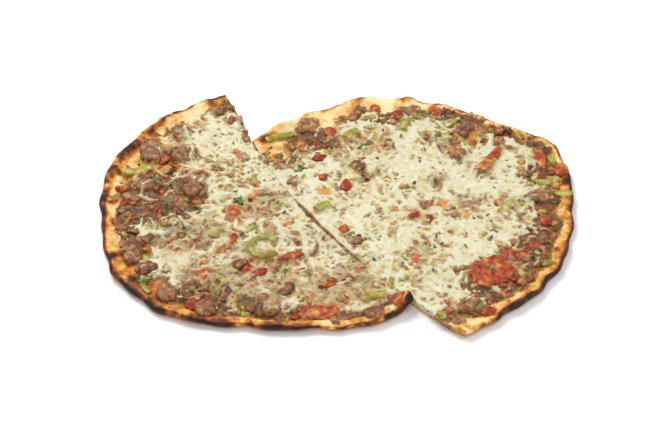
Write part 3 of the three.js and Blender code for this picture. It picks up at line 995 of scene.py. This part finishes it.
def dough_finish():
    finish = Finish("baked_dough", 0.6, specular=0.3)
    patches_and_specks = finish.add(finish.swing(4.0, 0.12, 3), finish.swing(1.2, 0.06))
    brown = finish.add("brown", patches_and_specks)
    crust = finish.ramp(brown, (
        (0.0, "FAE6B0"), (0.15, "F4D08A"), (0.32, "E6A448"), (0.48, "BE6E28"),
        (0.64, "7E431B"), (0.82, "4C2612"), (1.0, "2A160C"),
    ))
    finish.colour(finish.mix("stain", crust, tone("C4783A")))
    finish.bump(finish.noise(0.9, 3), 0.2)
    return finish.material


def filling_finish():
    finish = Finish("minced_filling", 0.32, specular=0.45)
    # The mince colour by richness, which also carries painted shade in the crevices between crumbs
    rich = finish.add("rich", finish.swing(1.6, 0.2, 3))
    mince = finish.ramp(rich, (
        (0.0, "D69E52"), (0.25, "9E6C36"), (0.5, "764826"), (0.75, "50301A"), (1.0, "2E1A0E"),
    ))
    finish.colour(finish.mix("mixed", mince, finish.ramp("kind", CRUMB_COLOURS)))
    finish.bump(finish.noise(0.8, 3), 0.3)
    return finish.material


def cheese_finish():
    finish = Finish("melted_cheese", 0.4, specular=0.35)
    thickness = finish.add("thickness", finish.swing(1.3, 0.1, 3))
    cover = finish.math("SUBTRACT", finish.math("DIVIDE", thickness, CHEESE_OPAQUE), "through")
    cream = finish.ramp(thickness, ((0.1, "CCBA8C"), (0.45, "D8D0A8"), (0.8, "E2DEC4")))
    body = finish.mix(cover, finish.ramp("kind", SOAKED_COLOURS), cream)
    yellow = finish.spread(finish.noise(5.0), -0.5, 0.7)
    yellowed = finish.mix(yellow, body, tone("DED088"))
    grey = finish.mix(finish.spread("tint", -0.4, 0.55), yellowed, tone("C4C6A4"))
    # A tan mix that is partly sauce and partly painted shade towards the front of the left half
    soaked = finish.mix("sauce", grey, tone("B8966A"))
    finish.colour(finish.mix("toast", soaked, tone("CE8C34")))
    finish.bump(finish.noise(0.7), 0.1)
    return finish.material


def mottled(name, kind):
    """A finish for pieces: each point's shade, fine and coarse mottling, thin cheese and fine relief."""
    roughness, fine, coarse, coating, relief, stops = MOTTLED[kind]
    finish = Finish(name, roughness, specular=0.4)
    shade = finish.add("shade", finish.add(finish.swing(*fine), finish.swing(*coarse)))
    coat = finish.spread(finish.noise(2.6, 3), coating - 1, coating)
    finish.colour(finish.mix(coat, finish.ramp(shade, stops), tone("CDB88C")))
    finish.bump(finish.noise(fine[0], 3), relief)
    return finish.material


def parsley_finish():
    finish = Finish("parsley", 0.5)
    shade = finish.add("shade", finish.swing(1.5, 0.25))
    finish.colour(finish.ramp(shade, ((0.0, "3C4020"), (0.4, "5E6234"), (0.75, "767A40"), (1.0, "929254"))))
    return finish.material


# Bread
def dough_piece(half, finish):
    def rim_row(inset, height_at):
        return row(half, RIM_COLUMNS, lambda angle: half.rim_radius(angle) - inset, height_at)

    def top_row(inset):
        return rim_row(inset, lambda angle, x, y: dough_top(half, angle, inset, x, y))

    def under_row(inset):
        return rim_row(inset, lambda angle, x, y: dough_under(half, angle, inset))

    def nose_row(turn):
        """A row round the rim's edge, from the top face at 90 degrees to the underside at -90."""
        c, s = math.cos(math.radians(turn)), math.sin(math.radians(turn))

        def height_at(angle, x, y):
            high = dough_top(half, angle, NOSE_RADIUS, x, y)
            low = dough_under(half, angle, NOSE_RADIUS)
            return (high + low) / 2 + (high - low) / 2 * s

        return rim_row(NOSE_RADIUS * (1 - c), height_at)

    top = level_rows(half, BARE_DEPTH, INNER_STEPS, DOUGH)
    top += [top_row(inset) for inset in np.arange(BARE_DEPTH, NOSE_RADIUS, -RIM_ROW_STEP)]
    top += [nose_row(turn) for turn in NOSE_TURNS]
    under = under_rows(half, UNDER_DEPTH, RIM_COLUMNS / 2, 0.0)
    under += [under_row(inset) for inset in UNDER_INSETS]
    under += [nose_row(turn) for turn in NOSE_UNDER_TURNS]
    points, faces = slab(half, top, under)
    is_under = np.arange(len(points)) >= sum(len(r) for r in top)
    values = dough_values(half, points, is_under)
    new_piece(f"dough_{half.name}", points, faces, values, finish, (f"crust_{half.name}",))


def dough_values(half, points, is_under):
    """How browned and how stained by the topping the dough is at each point, with painted shade on the cut
    wall.
    """
    x, y = points[:, 0], points[:, 1]
    angle, radius = half.polar(x, y)
    inset = half.rim_radius(angle) - radius
    burn, char, bake = (at_angle(steps, angle) for steps in (half.burn, half.char, half.bake))
    wide, fine = lumps(x, y, 16, 51), lumps(x, y, 5, 52)
    face = 1 - ease(0.6 * char, 0.6 + 1.3 * char, inset + 0.5 * fine)
    halo = 1 - ease(1.0, 7.0, inset + 2.0 * wide)
    brown = 0.03 + bake + 0.13 * wide + 0.1 * fine + halo * (0.12 + 0.2 * wide + 0.15 * fine)
    brown += face * (0.14 + 0.42 * burn + 0.12 * fine)
    brown += 0.8 * blisters(x, y, 0.4) + 0.4 * sample(spots(SCORCHED, 3), x, y)
    # Painted shade: the dough's cut wall is darkened, most along the crease where the halves gape
    cut_wall_shade = 1 - ease(0.2, 0.8, sample(from_cut, x, y))
    brown += cut_wall_shade * (0.15 + 0.25 * crease(y))
    brown_under = 0.3 + 0.5 * burn * (1 - ease(0, 9, inset)) + 0.12 * wide + 0.08 * fine
    stain = ease(0.0, 1.0, 0.2 + 0.9 * lumps(x, y, 11, 53)) * ease(7, 14, inset)
    stain *= np.clip(0.2 + 2.5 * bake, 0, 0.7)
    return {"brown": np.where(is_under, brown_under, brown), "stain": np.where(is_under, 0.0, stain)}


# Layers
def layer_mesh(half, edge, spacing, field, under_z, overhang):
    top = field_rows(half, edge, spacing, field, overhang)
    return slab(half, top, under_rows(half, edge, LAYER_COLUMNS, under_z, overhang))


def filling_piece(half, finish):
    points, faces = layer_mesh(
        half, FILLING_EDGE, FILLING_SPACING, filling_field, FILLING_UNDER, FILLING_OVERHANG)
    x, y = points[:, 0], points[:, 1]
    cover, bump, edge = (sample(field, x, y) for field in (filling_cover, crumb_bump, cut_edge))
    # Darker where the filling covers more, with random patches, and painted shade in the crevices between
    # crumbs (the bump term)
    rich = 0.55 * cover + 0.2 * lumps(x, y, 6, 61) + 0.3 - 0.5 * bump
    mixed = np.maximum(0.75 * cover * ease(0.2, 0.7, bump), edge)
    kind = sample(crumb_number, x, y) * (1 - edge) + CREASE_KIND * edge
    values = {"rich": rich, "kind": kind, "mixed": mixed}
    new_piece(f"mince_{half.name}", points, faces, values, finish, (f"filling_{half.name}",))


def cheese_values(x, y):
    """How thick the cheese is at each place, and what colours it."""
    def at(field):
        return sample(field, x, y)

    left = at(left_share)
    thickness = at(thickness_field) - CHEESE_DIP
    toast = 0.6 * ease(0.6, 0.95, noise(x, y, 2.6, 71)) + 0.85 * at(spots(TOASTED_CHEESE, 1.5))
    # Painted shade growing towards the front of the left half, and random patches of sauce
    to_front = 1 - ease(-30, 90, y)
    sauce = 0.16 * to_front * left + 0.12 * lumps(x, y, 16, 72)
    soaked = at(spots(SOAKED_CHEESE, 4))
    seen = ease(0.45, 0.7, at(buried_number) * 7.3 % 1)
    buried = ease(0.0, 0.6, at(buried_bump)) * seen
    smudge = 0.6 * lumps(x, y, 5, 73) + 0.7 * buried - 0.12
    smudge += 0.55 * at(thin) + 0.34 * left
    through = np.maximum(0.85 * ease(0.05, 0.8, smudge), 0.75 * soaked)
    through *= 1 - 0.5 * ease(0.35, 0.7, thickness)
    kind = at(crumb_number) * (1 - buried) + at(buried_number) * buried
    kind = kind * (1 - soaked) + SAUCE_KIND * soaked
    return {"thickness": thickness, "through": through, "kind": kind, "toast": toast, "sauce": sauce,
            "tint": at(tint_field)}


def cheese_piece(half, finish):
    points, faces = layer_mesh(
        half, CHEESE_EDGE, CHEESE_SPACING, cheese_field, CHEESE_UNDER, CHEESE_OVERHANG)
    x, y = points[:, 0], points[:, 1]
    inside_x = x + half.side * np.maximum(CHEESE_OVERHANG - half.across(x, y), 0)
    values = cheese_values(inside_x, y)
    new_piece(f"melted_cheese_{half.name}", points, faces, values, finish, (f"cheese_{half.name}",))


# Pieces that keep the solids' form
def refined(node, rounds):
    """A solid's mesh made fine and even, as points, triangles and normals in millimetres."""
    work = new_object("work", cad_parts[node].data.copy())
    remesh = work.modifiers.new("remesh", "REMESH")
    remesh.mode = "VOXEL"
    remesh.voxel_size = PIECE_VOXEL * MM
    smooth = work.modifiers.new("smooth", "SMOOTH")
    smooth.iterations = rounds
    mesh = work.evaluated_get(bpy.context.evaluated_depsgraph_get()).to_mesh()
    points, faces = mesh_arrays(mesh)
    normals = read_triples(mesh.vertices, "normal")
    data = work.data
    bpy.data.objects.remove(work)
    bpy.data.meshes.remove(data)
    return points, faces, normals


def solid_pieces(kind, rounds, size, height, seed):
    """All solids of a kind as one piece, with lumps of a size and height, and their undersides let in."""
    rng = np.random.default_rng(seed)
    all_points, all_faces, all_shades = [], [], []
    start = 0
    for node in piece_nodes(kind):
        points, faces, normals = refined(node, rounds)
        bump, number = cells(points, size, seed)
        push = SWELL + height * (bump - 0.5 + 0.3 * noise_3d(points, 0.4 * size, seed + 1))
        push += height * noise_3d(points @ TURNED, 2.2 * size, seed + 4)
        points = points + normals * push[:, None]
        low, high = points[:, 2].min(), points[:, 2].max()
        points[:, 2] -= SINK * (1 - ease(0, SINK_SHARE, (points[:, 2] - low) / (high - low)))
        wide = noise_3d(points @ TURNED, 2.5 * size, seed + 5)
        # Each point's shade: a tone for the piece and for each lump, painted shade in the crevices between
        # lumps, and broad mottling
        all_shades.append(rng.uniform(0.35, 0.5) + 0.15 * number + 0.3 * (bump - 0.5) + 0.16 * wide)
        all_points.append(points)
        all_faces.append(faces + start)
        start += len(points)
    points, faces, shade = (np.concatenate(rows) for rows in (all_points, all_faces, all_shades))
    values, finish = {"shade": shade}, mottled(kind, kind)
    new_piece(f"{kind}_pieces", points, faces, values, finish, piece_nodes(kind))


# Small lumps as joined meshes
def halved(quads):
    """Two triangles for each quad."""
    return np.concatenate((quads[:, [0, 1, 2]], quads[:, [0, 2, 3]]))


def block(splits):
    """A cube from -1 to 1 with split faces, as points and triangles."""
    steps = np.linspace(-1, 1, splits + 1)
    corners, quads = {}, []
    for axis, side, i, j in itertools.product(range(3), (-1, 1), range(splits), range(splits)):
        quad = []
        for u, v in ((i, j), (i + 1, j), (i + 1, j + 1), (i, j + 1)):
            point = np.empty(3)
            point[axis] = side
            point[axis - 2] = steps[u]
            point[axis - 1] = steps[v]
            quad.append(corners.setdefault(tuple(point), len(corners)))
        quads.append(quad if side > 0 else quad[::-1])
    return np.array(list(corners)), halved(np.array(quads))


def joined(base, faces, scales, turns, tilts, places):
    """Copies of base points, scaled, tilted about two level axes, turned and put in their places."""
    points = base * scales[:, None, :]
    for angles, (a, b) in ((tilts[:, 0], (1, 2)), (tilts[:, 1], (2, 0)), (turns, (0, 1))):
        c, s = np.cos(angles)[:, None], np.sin(angles)[:, None]
        first = c * points[..., a] - s * points[..., b]
        second = s * points[..., a] + c * points[..., b]
        points[..., a], points[..., b] = first, second
    points += places[:, None, :]
    numbers = np.arange(len(places))[:, None, None] * base.shape[-2] + faces
    return points.reshape(-1, 3), numbers.reshape(-1, 3)


def bits_piece(name, kind, shades, seed):
    rows, heights = bits[name]
    count = len(rows)
    rng = np.random.default_rng(seed)
    base, faces = block(BIT_SPLITS)
    base = base / (np.abs(base) ** BIT_BOXINESS).sum(axis=1, keepdims=True) ** (1 / BIT_BOXINESS)
    drawn = base + rng.uniform(0, 100, (count, 1, 3))
    bumps = noise_3d(drawn.reshape(-1, 3), 0.9, seed).reshape(count, -1, 1)
    x, y, length, width, turn = rows.T
    height = heights * rng.uniform(0.9, 1.2, count)
    scales = np.column_stack((length, width, 1.5 * height)) / 2
    places = np.column_stack((x, y, sample(ground_field, x, y)))
    tilts = rng.normal(0, BIT_TILT, (count, 2))
    uneven = base * (1 + BIT_UNEVENNESS * bumps)
    points, faces = joined(uneven, faces, scales, np.radians(turn), tilts, places)
    shade = np.repeat(rng.uniform(*shades, count), len(base))
    new_piece(name, points, faces, {"shade": shade}, mottled(name, kind))


def leaf(columns, rows):
    """A thin wavy flake, closed, of length and width 2."""
    along, across = np.linspace(-1, 1, columns), np.linspace(-1, 1, rows)
    u, v = (part.ravel() for part in np.meshgrid(along, across, indexing="ij"))
    outline = np.sqrt(1 - 0.75 * u * u) * (1 + 0.25 * np.sin(7 * u))
    sheet = np.column_stack((u, v * outline, 0.35 * np.sin(2.3 * u) * v + 0.25 * u * u))
    count = len(sheet)
    points = np.concatenate((sheet + (0, 0, LEAF_HALF), sheet - (0, 0, LEAF_HALF)))
    number = np.arange(count).reshape(columns, rows)
    a, b, c, d = number[:-1, :-1], number[1:, :-1], number[1:, 1:], number[:-1, 1:]
    quads = np.stack((a, b, c, d), axis=-1).reshape(-1, 4)
    rim = np.concatenate((number[:, 0], number[-1, 1:], number[-2::-1, -1], number[0, -2:0:-1]))
    after = np.roll(rim, -1)
    sides = np.column_stack((rim, rim + count, after + count, after))
    return points, halved(np.concatenate((quads, quads[:, ::-1] + count, sides)))


def parsley_piece(finish):
    rng = np.random.default_rng(91)
    chance = ease(*LEAF_FADE, inset_field) * in_outline * (1 - 0.7 * solids_cover)
    loose = scatter(rng, LOOSE_FLAKES, chance)
    bunches = np.repeat(placed(PARSLEY_PLACES), BUNCH_FLAKES, axis=0)
    bunches += rng.normal(0, BUNCH_SPREAD, bunches.shape)
    places = np.concatenate((bunches, loose))
    count = len(places)
    bunch_length = rng.uniform(*BUNCH_LENGTHS, len(bunches))
    length = np.concatenate((bunch_length, rng.uniform(*LOOSE_LENGTHS, len(loose))))
    base, faces = leaf(5, 3)
    scales = np.column_stack((length, length * rng.uniform(0.5, 0.9, count), length))
    turns = rng.uniform(0, FULL_TURN, count)
    tilts = rng.normal(0, LEAF_TILT, (count, 2))
    z = np.maximum(sample(surface_field, *places.T), sample(solids_field, *places.T)) + LEAF_RISE
    flakes = np.repeat(base[None], count, axis=0)
    points, faces = joined(flakes, faces, scales, turns, tilts, np.column_stack((places, z)))
    shade = np.repeat(rng.uniform(0.2, 0.9, count), len(base))
    new_piece("parsley", points, faces, {"shade": shade}, finish)


def make_lahmacun():
    finishes = dough_finish(), filling_finish(), cheese_finish()
    for half in HALVES:
        for make_piece, finish in zip((dough_piece, filling_piece, cheese_piece), finishes):
            make_piece(half, finish)
    solid_pieces("meat", rounds=14, size=4.4, height=0.7, seed=101)
    solid_pieces("tomato", rounds=8, size=3.4, height=0.45, seed=102)
    solid_pieces("pepper", rounds=5, size=5.0, height=0.2, seed=103)
    bits_piece("mince_crumbs", "meat", shades=(0.4, 0.75), seed=111)
    bits_piece("tomato_bits", "tomato", shades=(0.25, 0.9), seed=112)
    bits_piece("pepper_bits", "pepper", shades=(0.2, 0.8), seed=113)
    parsley_piece(parsley_finish())


# Stage, light and camera
def make_stage():
    finish = Finish("floor", 0.9)
    finish.colour(finish.mix(finish.noise(400.0, 1), tone("FBFBFA"), tone("FDFDFC")))
    mesh = bpy.data.meshes.new("floor")
    corners = [(x * FLOOR_HALF, y * FLOOR_HALF, 0) for x, y in ((-1, -1), (1, -1), (1, 1), (-1, 1))]
    mesh.from_pydata(corners, [], [(0, 1, 2, 3)])
    mesh.materials.append(finish.material)
    floor = new_object("floor", mesh)
    floor.location.z = -FLOOR_DROP


def aimed(name, data, place, direction):
    """Puts a light or a camera in its place, looking in a direction."""
    thing = new_object(name, data)
    thing.location = place
    thing.rotation_mode = "QUATERNION"
    thing.rotation_quaternion = direction.to_track_quat("-Z", "Y")
    return thing


def make_light():
    scene = bpy.context.scene
    world = bpy.data.worlds.new("studio")
    world.use_nodes = True
    background = world.node_tree.nodes["Background"]
    background.inputs["Color"].default_value = (1.0, 1.0, 1.0, 1.0)
    background.inputs["Strength"].default_value = WORLD_STRENGTH
    scene.world = world
    for name, place, size, power in LIGHTS:
        light = bpy.data.lights.new(name, "AREA")
        light.size = size
        light.energy = power
        aimed(name, light, place, -Vector(place))
    scene.view_settings.view_transform = "Standard"


def make_camera():
    elevation, azimuth = math.radians(CAMERA_ELEVATION), math.radians(CAMERA_AZIMUTH)
    level = math.cos(elevation)
    back = Vector((math.sin(azimuth) * level, -math.cos(azimuth) * level, math.sin(elevation)))
    lens = bpy.data.cameras.new("camera")
    lens.lens = CAMERA_LENS
    lens.sensor_width = CAMERA_SENSOR
    target = Vector((*(LEFT.shift + CAMERA_TARGET), 0.0))
    place = (target + CAMERA_DISTANCE * back) * MM
    bpy.context.scene.camera = aimed("camera", lens, place, -back)


make_lahmacun()
make_stage()
make_light()
make_camera()
